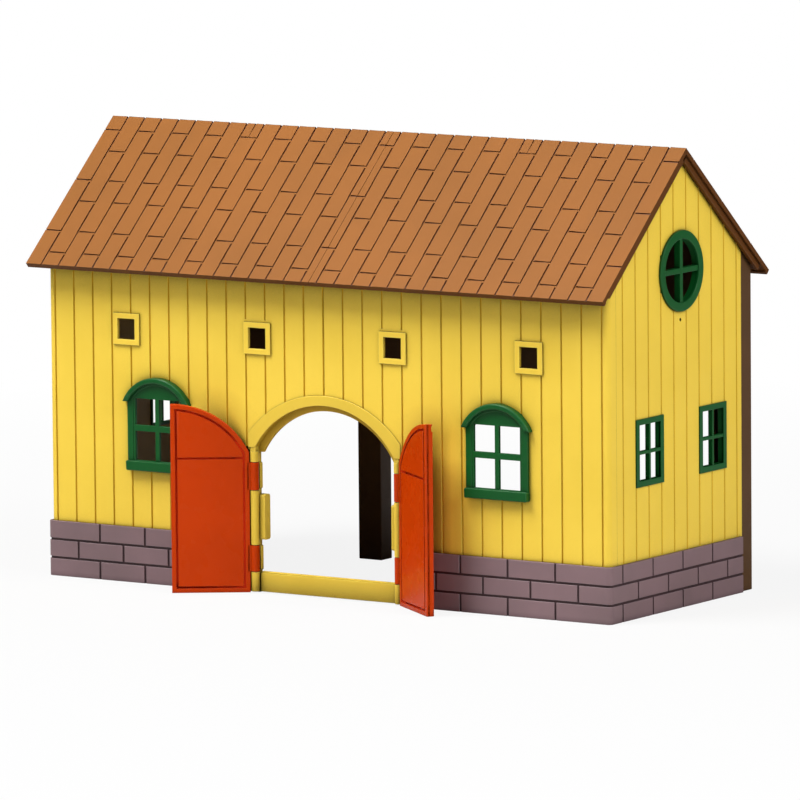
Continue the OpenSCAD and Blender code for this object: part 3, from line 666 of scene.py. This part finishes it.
# --------------------------------------------------------------- door leaves
def leaf_loop(inset, u_min, z_lo=None, z_hi=None):
    """Outline of a leaf, set in from its edge, between two heights."""
    x0, x1 = u_min, LEAF_W - inset
    r = LEAF_AR - inset
    z0 = LEAF_Z0 + inset if z_lo is None else z_lo

    def top(u):
        return LEAF_AZ + math.sqrt(max(0, r * r - (u - LEAF_AX) ** 2))
    if z_hi is not None:
        xa = x0
        if z_hi > top(x0):
            xa = LEAF_AX - math.sqrt(r * r - (z_hi - LEAF_AZ) ** 2)
            us = [xa - (xa - x0) * i / 12 for i in range(1, 13)]
            return [(x0, z0), (x1, z0), (x1, z_hi), (xa, z_hi)] + [(u, top(u)) for u in us]
        return [(x0, z0), (x1, z0), (x1, z_hi), (x0, z_hi)]
    n = 40
    a1 = math.acos((x1 - LEAF_AX) / r)
    # where a panel starts above the spring of the arch its lower left corner lies on the circle
    xl = x0
    if z0 > top(x0):
        xl = LEAF_AX - math.sqrt(r * r - (z0 - LEAF_AZ) ** 2)
    a2 = math.acos((xl - LEAF_AX) / r)
    pts = [(xl, z0), (x1, z0)]
    pts += [(LEAF_AX + r * math.cos(a1 + (a2 - a1) * i / n), LEAF_AZ + r * math.sin(a1 + (a2 - a1) * i / n)) for i in range(n + 1)]
    if z0 > top(x0):
        pts.pop()
    return pts


def leaf():
    g = Geo()
    t_in, t_out = LEAF_IN, LEAF_IN - LEAF_T
    floor = t_in - 0.05 * P
    # core, narrower towards the pin on its outer side
    g.join(plate([leaf_loop(0, 0.80 * P)], t_out, floor, 0.3), mat=0)
    g.join(plate([leaf_loop(0, 0.50 * P)], -0.10 * P, floor, 0.1), mat=0)
    g.join(plate([leaf_loop(0.02 * P, 0.30 * P)], -0.03 * P, floor + 0.005, 0.02), mat=1)
    g.join(plate([leaf_loop(0.02 * P, 0.82 * P)], t_out + 1, floor + 0.005, 0.05), mat=1)
    # border and panels of the inner face
    g.join(plate([leaf_loop(0, LEAF_U0), leaf_loop(0.19 * P, LEAF_U0 + 0.19 * P)], 0.0, t_in, 0.28), mat=0)
    g.join(plate([leaf_loop(0.28 * P, LEAF_U0 + 0.28 * P, z_hi=5.80 * P)], 0.1, t_in, 0.22), mat=0)
    g.join(plate([leaf_loop(0.28 * P, LEAF_U0 + 0.28 * P, z_lo=5.89 * P)], 0.1, t_in, 0.22), mat=0)
    # sloping flank towards the pin
    v = []
    for z in (LEAF_Z0 + 0.1, 6.2 * P):
        v += [(0.30 * P, 0.0, z), (0.82 * P, 0.0, z), (0.82 * P, t_out + 0.05, z), (0.785 * P, t_out + 0.02, z)]
    g.add(v, [[3, 2, 1, 0], [4, 5, 6, 7], [0, 1, 5, 4], [1, 2, 6, 5], [2, 3, 7, 6], [3, 0, 4, 7]], 0)
    # raised rim on the outer face
    rim_o = leaf_loop(0, 1.1 * P)
    rim_i = leaf_loop(0.28 * P, 1.1 * P)
    top_o = [q for q in rim_o[2:]]
    top_i = [q for q in rim_i[2:]]
    g.join(plate([top_o + list(reversed(top_i))], t_out - 0.05 * P, t_out + 0.3, 0.25), mat=0)
    g.join(rbox((1.1 * P, t_out - 0.05 * P, LEAF_Z0), (LEAF_W, t_out + 0.3, LEAF_Z0 + 0.28 * P), 0.25), mat=0)
    g.join(rbox((LEAF_W - 0.28 * P, t_out - 0.05 * P, LEAF_Z0), (LEAF_W, t_out + 0.3, LEAF_AZ + 3.5 * P), 0.25), mat=0)
    # board lines on the outer face
    for i in (1, 2, 3):
        u = LEAF_W - i * 0.84 * P
        g.join(rbox((u - 0.4, t_out - 0.012, LEAF_Z0 + 0.3 * P), (u + 0.4, t_out + 0.2, LEAF_Z0 + 5.4 * P), 0.0), mat=1)
    # knuckles
    for z0, z1 in LEAF_K:
        g.join(rod(0, 0, z0 * P, z1 * P, BARREL, 0.35), mat=0)
        g.join(rbox((0, -0.05 * P, z0 * P + 0.02), (0.34 * P, LEAF_IN, z1 * P - 0.02), 0.2), mat=0)
    return g


def swing(g, degrees):
    a = -math.radians(degrees)
    ca, sa = math.cos(a), math.sin(a)
    out = Geo()
    out.v = [(-AX + u * ca - t * sa, AY + u * sa + t * ca, z) for u, t, z in g.v]
    out.f, out.m = [list(f) for f in g.f], list(g.m)
    return out


shut = leaf()
piece(swing(shut, OPEN_L), ["door_leaf_left"], "left_door", ["red", "red_groove_lit"])
piece(swing(shut, OPEN_R).mirrored(), ["door_leaf_right"], "right_door", ["red", "red_groove_lit"])
for s, side in ((1, "right"), (-1, "left")):
    piece(rod(s * AX, AY, 0.1 * P, 6.03 * P, 1.25, 0.3), ["hinge_pin_" + side], "barn", ["steel"])


# --------------------------------------------------------------------- roof
def side_x(i):
    return COL0 + (i - 1) * COL if i > 0 else -COL0 + i * COL


def line_at(x, q):
    """True where a line between shingles runs, at x along the ridge and q down the slope."""
    h = GAP / 2
    for i in range(-17, 18):
        x0, x1 = side_x(i), side_x(i + 1)
        cuts = CUT_A if i % 2 == 0 else CUT_B
        if abs(x1) < RX - 1 and abs(x - x1) < h:
            a = [-1] + [c + h + 0.09 * P for c in cuts]
            b = [c + h for c in cuts] + [SLOPE_L + 1]
            if any(lo < q < hi for lo, hi in zip(a, b)):
                return True
        if x0 + 0.08 * P < x < x1 and any(abs(q - c) < h for c in cuts):
            return True
    return abs(abs(x) - 7.17 * P) < 0.3 and q < CUT_A[0]


def on_slope(x, v, w):
    return (x, RIDGE_Y + v * math.cos(SLOPE) - w * math.sin(SLOPE), RIDGE_Z + v * math.sin(SLOPE) + w * math.cos(SLOPE))


def ridge_v(w):
    return (-0.05 + w * math.sin(SLOPE)) / math.cos(SLOPE)


def panel(xa, xb):
    """One roof panel between xa and xb: shingles as a grid of cells with sunk lines."""
    h = GAP / 2
    xs = {xa, xb, -7.17 * P - 0.3, -7.17 * P + 0.3, 7.17 * P - 0.3, 7.17 * P + 0.3}
    for i in range(-17, 18):
        x0, x1 = side_x(i), side_x(i + 1)
        xs |= {x1 - h, x1 + h, x0 + 0.08 * P}
    xs = sorted(x for x in xs if xa <= x <= xb)
    qs = {0.0, SLOPE_L}
    for c in CUT_A + CUT_B:
        qs |= {c - h, c + h, c + h + 0.09 * P}
    qs = sorted(q for q in qs if q <= SLOPE_L)
    nx, nq = len(xs) - 1, len(qs) - 1
    low = [[line_at((xs[i] + xs[i + 1]) / 2, (qs[j] + qs[j + 1]) / 2) for j in range(nq)] for i in range(nx)]
    g = Geo()
    index = {}

    def vert(i, j, w):
        k = (i, j, w)
        if k not in index:
            v = -qs[j] if qs[j] > 0 else ridge_v(w)
            index[k] = len(g.v)
            g.v.append(on_slope(xs[i], v, w))
        return index[k]

    def face(vs, m):
        g.f.append(vs)
        g.m.append(m)
    bot = -ROOF_T
    for i in range(nx):
        for j in range(nq):
            w = -GAP_D if low[i][j] else 0.0
            face([vert(i, j + 1, w), vert(i + 1, j + 1, w), vert(i + 1, j, w), vert(i, j, w)], 1 if low[i][j] else 0)
            face([vert(i, j, bot), vert(i + 1, j, bot), vert(i + 1, j + 1, bot), vert(i, j + 1, bot)], 2)
            if i + 1 < nx and low[i][j] != low[i + 1][j]:
                q = [vert(i + 1, j, 0.0), vert(i + 1, j + 1, 0.0), vert(i + 1, j + 1, -GAP_D), vert(i + 1, j, -GAP_D)]
                face(q if low[i][j] else q[::-1], 1)
            if j + 1 < nq and low[i][j] != low[i][j + 1]:
                q = [vert(i, j + 1, 0.0), vert(i + 1, j + 1, 0.0), vert(i + 1, j + 1, -GAP_D), vert(i, j + 1, -GAP_D)]
                face(q[::-1] if low[i][j] else q, 1)
    for j in range(nq):
        w = -GAP_D if low[0][j] else 0.0
        face([vert(0, j, bot), vert(0, j + 1, bot), vert(0, j + 1, w), vert(0, j, w)], 2)
        w = -GAP_D if low[nx - 1][j] else 0.0
        face([vert(nx, j + 1, bot), vert(nx, j, bot), vert(nx, j, w), vert(nx, j + 1, w)], 2)
    for i in range(nx):
        w = -GAP_D if low[i][0] else 0.0
        face([vert(i + 1, 0, bot), vert(i, 0, bot), vert(i, 0, w), vert(i + 1, 0, w)], 2)
        w = -GAP_D if low[i][nq - 1] else 0.0
        face([vert(i, nq, bot), vert(i + 1, nq, bot), vert(i + 1, nq, w), vert(i, nq, w)], 2)
    return g


def panel_back(sign, dx):
    """Rib over the gable and drip edge under a panel."""
    g = Geo()
    b = rbox((min(sign * 0.1, sign * RX), -SLOPE_L + 0.02, -ROOF_T - 0.8), (max(sign * 0.1, sign * RX), -SLOPE_L + 2.4, -ROOF_T + 0.1), 0.2)
    g.join(b, lambda x, v, w: on_slope(x, v, w))
    xs = sorted((sign * (WX + 0.6) + dx, sign * (WX + 3.1) + dx))
    b = rbox((xs[0], -SLOPE_L + 0.6 * P, -ROOF_T - 3.6), (xs[1], ridge_v(-ROOF_T - 3.6) - 0.1, -ROOF_T + 0.1), 0.3)
    g.join(b, lambda x, v, w: on_slope(x, v, w))
    g.m = [2] * len(g.m)
    return g


def turned(g):
    out = Geo()
    out.v = [(-x, 2 * RIDGE_Y - y, z) for x, y, z in g.v]
    out.f, out.m = [list(f) for f in g.f], list(g.m)
    return out


right, left = panel(0.1, RX), panel(-RX, -0.1)
for name, top, rib in (("roof_front_right", right, panel_back(1, ROOF_X)), ("roof_front_left", left, panel_back(-1, ROOF_X)),
                       ("roof_back_left", turned(right), turned(panel_back(1, -ROOF_X))),
                       ("roof_back_right", turned(left), turned(panel_back(-1, -ROOF_X)))):
    top, rib = (Geo().join(q, lambda x, y, z: (x - ROOF_X, y, z)) for q in (top, rib))
    piece(top, [name], "barn", ["tile", "tile_groove_shade", "tile_edge_shade"], bevel=0.14)
    piece(rib, [name], "barn", ["tile", "tile_groove_shade", "tile_edge_shade"])

# -------------------------------------------------- timber and inner pieces
top_y = lambda y: under(y) - 0.2
g = plate([[(RIDGE_Y - 7, under(RIDGE_Y) - 14), (RIDGE_Y + 7, under(RIDGE_Y) - 14), (RIDGE_Y + 7, top_y(RIDGE_Y + 7)),
            (RIDGE_Y, top_y(RIDGE_Y)), (RIDGE_Y - 7, top_y(RIDGE_Y - 7))]], -WX + WALL + 0.1, WX - WALL - 0.1, 0.4, "x")
piece(g, ["ridge_beam"], "barn", ["timber"])
for name, s1 in (("roof_joiner_front", 7.15 * P), ("roof_joiner_back", 6.30 * P)):
    g = Geo()
    g.join(rbox((-9, -s1, -ROOF_T - 2.3), (9, -1.25 * P, -ROOF_T - 0.15), 0.3), on_slope)
    for c in (-7.5, 7.5):
        g.join(rbox((c - 1, -s1, -ROOF_T - 4.5), (c + 1, -1.25 * P, -ROOF_T - 2.2), 0.3), on_slope)
    piece(g if name.endswith("front") else turned(g), [name], "barn", ["timber"])
for s, side in ((1, "right"), (-1, "left")):
    a = WX - WALL - 0.15
    b = WALL + 0.15
    g = plate([[(a, b), (a, 18), (a - 2, 18), (a - 2, b + 2), (a - 13.85, b + 2), (a - 13.85, b)]], 6, 6 + 13.2 * P, 0.3, "z")
    piece(g if s > 0 else g.mirrored(), ["corner_bracket_" + side], "barn", ["yellow_inner_shade"])
    x0, x1 = 12.82 * P, 14.31 * P
    g = plate([[(x0, BY0), (x0 + 2.4, BY0), (x0 + 2.4, BY1 - 2.4), (x1 - 2.4, BY1 - 2.4), (x1 - 2.4, BY0), (x1, BY0), (x1, BY1), (x0, BY1)]],
              0, 13.0 * P, 0.5, "z")
    g.v = [(x, y, z if z < 12 * P else under(y) - 0.15 - (13.0 * P - z)) for x, y, z in g.v]
    g.join(rbox((x0 + 2, BY0 + 0.2, 0.1), (x1 - 2, BY1 - 2, 3), 0.2))
    blk = rbox((x0 + 2, BY0 + 0.2, LINTEL), (x1 - 2, BY1 - 2, 13.0 * P), 0.2)
    blk.v = [(x, y, z if z < 12 * P else under(y) - 0.3 - (13.0 * P - z)) for x, y, z in blk.v]
    g.join(blk)
    piece(g if s > 0 else g.mirrored(), ["back_post_corner_" + side], "barn", ["timber"])
    g = rbox((4.19 * P, BY0, 0), (5.39 * P, BY1, LINTEL - 0.1), 0.6)
    piece(g if s > 0 else g.mirrored(), ["back_post_inner_" + side], "barn", ["timber"])

# boarded panel between the corner posts
PX = 12.82 * P - 0.15
face_y = BY0 + WALL + 0.4
rows = [(-PX, 0, 0)]
for i in range(-12, 13):
    if abs(abs(i) - 4.79) > 0.65:
        rows += [(i * P + dx, d, 1 if d > 0.1 else 0) for dx, d in PROFILE if abs(i * P + dx) < PX]
rows += [(PX, 0, 0)]
rows.sort()
g = loft([((x, face_y - d), (x, BY0)) for x, d, m in rows], LINTEL, lambda y: under(face_y) - 1.2, [m for x, d, m in rows])
g.m = [0 if m == 2 else m for m in g.m]
g.join(rbox((-PX, BY0 + 0.1, LINTEL), (PX, BY1, LINTEL + 0.7 * P), 0.5))
for s in (-1, 1):
    g.join(rbox((s * 4.79 * P - 0.6 * P, BY0 + 0.1, LINTEL + 1), (s * 4.79 * P + 0.6 * P, BY1 - 0.15, 13.3 * P - 6), 0.5))
rail = rbox((-PX, BY0 + 0.1, 12.2 * P), (PX, BY1, 13.0 * P), 0.5)
rail.v = [(x, y, z if z < 12.6 * P else under(y) - 0.15 - (13.0 * P - z)) for x, y, z in rail.v]
g.join(rail)
piece(g, ["back_panel"], "barn", ["timber", "mortar"], weld=0.003)

# --------------------------------------------------------------- the setting
floor_me = bpy.data.meshes.new("floor")
floor_me.from_pydata([(-9, -9, 0), (9, -9, 0), (9, 9, 0), (-9, 9, 0)], [], [[0, 1, 2, 3]])
floor = bpy.data.objects.new("floor", floor_me)
bpy.context.scene.collection.objects.link(floor)
fm = bpy.data.materials.new("floor")
fm.use_nodes = True
fb = fm.node_tree.nodes["Principled BSDF"]
fn = fm.node_tree.nodes.new("ShaderNodeTexNoise")
fn.inputs["Scale"].default_value = 3
fr = fm.node_tree.nodes.new("ShaderNodeValToRGB")
fr.color_ramp.elements[0].color = (0.55, 0.55, 0.55, 1)
fr.color_ramp.elements[1].color = (0.60, 0.60, 0.60, 1)
fm.node_tree.links.new(fn.outputs["Fac"], fr.inputs["Fac"])
fm.node_tree.links.new(fr.outputs["Color"], fb.inputs["Base Color"])
fb.inputs["Roughness"].default_value = 0.85
fb.inputs["Specular IOR Level"].default_value = 0.1
# seen directly, the floor is nearly white and fades into the white setting
fl = fm.node_tree
pos = fl.nodes.new("ShaderNodeTexCoord")
rad = fl.nodes.new("ShaderNodeVectorMath")
rad.operation = "LENGTH"
fl.links.new(pos.outputs["Object"], rad.inputs[0])
away = fl.nodes.new("ShaderNodeMapRange")
away.inputs["From Min"].default_value = 0.25
away.inputs["From Max"].default_value = 1.0
away.inputs["To Min"].default_value = 0.88
away.inputs["To Max"].default_value = 1.0
fl.links.new(rad.outputs["Value"], away.inputs["Value"])
eye = fl.nodes.new("ShaderNodeLightPath")
both = fl.nodes.new("ShaderNodeMath")
both.operation = "MULTIPLY"
fl.links.new(away.outputs["Result"], both.inputs[0])
fl.links.new(eye.outputs["Is Camera Ray"], both.inputs[1])
glow = fl.nodes.new("ShaderNodeEmission")
glow.inputs["Color"].default_value = (1, 1, 1, 1)
glow.inputs["Strength"].default_value = 1.0
blend = fl.nodes.new("ShaderNodeMixShader")
fl.links.new(both.outputs["Value"], blend.inputs[0])
fl.links.new(fb.outputs[0], blend.inputs[1])
fl.links.new(glow.outputs[0], blend.inputs[2])
fl.links.new(blend.outputs[0], fl.nodes["Material Output"].inputs["Surface"])
floor_me.materials.append(fm)

scene = bpy.context.scene
world = bpy.data.worlds.new("studio")
scene.world = world
world.use_nodes = True
wn = world.node_tree
bg = wn.nodes["Background"]
# bright in front of the barn and overhead, dimmer behind it; plain white to the eye
tc = wn.nodes.new("ShaderNodeTexCoord")
sep = wn.nodes.new("ShaderNodeSeparateXYZ")
wn.links.new(tc.outputs["Generated"], sep.inputs[0])
mr = wn.nodes.new("ShaderNodeMapRange")
mr.inputs["From Min"].default_value = -0.45
mr.inputs["From Max"].default_value = 0.55
mr.inputs["To Min"].default_value = 0.14
mr.inputs["To Max"].default_value = 0.06
wn.links.new(sep.outputs["Y"], mr.inputs["Value"])
lp = wn.nodes.new("ShaderNodeLightPath")
mx = wn.nodes.new("ShaderNodeMix")
wn.links.new(lp.outputs["Is Camera Ray"], mx.inputs["Factor"])
gl = wn.nodes.new("ShaderNodeMath")
gl.operation = "MULTIPLY_ADD"
gl.inputs[1].default_value = -0.6
gl.inputs[2].default_value = 1.0
wn.links.new(lp.outputs["Is Glossy Ray"], gl.inputs[0])
ga = wn.nodes.new("ShaderNodeMath")
ga.operation = "MULTIPLY"
wn.links.new(mr.outputs["Result"], ga.inputs[0])
wn.links.new(gl.outputs["Value"], ga.inputs[1])
wn.links.new(ga.outputs["Value"], mx.inputs["A"])
mx.inputs["B"].default_value = 1.05
wn.links.new(mx.outputs["Result"], bg.inputs["Strength"])
bg.inputs["Color"].default_value = (1, 1, 1, 1)


def lamp(name, at, look, size, power, color=(1, 1, 1)):
    li = bpy.data.lights.new(name, "AREA")
    li.shape, li.size, li.energy, li.color = "DISK", size, power, color
    ob = bpy.data.objects.new(name, li)
    bpy.context.scene.collection.objects.link(ob)
    ob.location = Vector(at)
    ob.rotation_euler = (Vector(look) - ob.location).to_track_quat("-Z", "Y").to_euler()
    ob.visible_camera = False
    return ob


lamp("key", (-0.75, -1.10, 2.3), (0, -0.05, 0.1), 1.3, 80)
lamp("fill", (2.4, -0.4, 1.8), (0.15, 0, 0.12), 1.4, 54)
lamp("front", (-0.6, -2.6, 0.9), (0, 0, 0.08), 1.2, 4)

yaw, pitch, roll = 0.58243759, 0.12884832, -0.00899486
fwd = Vector((-math.sin(yaw) * math.cos(pitch), math.cos(yaw) * math.cos(pitch), -math.sin(pitch)))
r = Vector((math.cos(yaw), math.sin(yaw), 0))
u = r.cross(fwd)
r2 = math.cos(roll) * r + math.sin(roll) * u
u2 = -math.sin(roll) * r + math.cos(roll) * u
cam = bpy.data.cameras.new("camera")
co = bpy.data.objects.new("camera", cam)
scene.collection.objects.link(co)
cam.sensor_width = 36
cam.lens = 9237.23 * 36 / 800
cam.clip_end = 50
co.matrix_world = Matrix(((r2.x, u2.x, -fwd.x, 3.04795), (r2.y, u2.y, -fwd.y, -4.54480 + Y0 / 1000),
                          (r2.z, u2.z, -fwd.z, 0.82895), (0, 0, 0, 1)))
scene.camera = co
scene.view_settings.view_transform = "Standard"
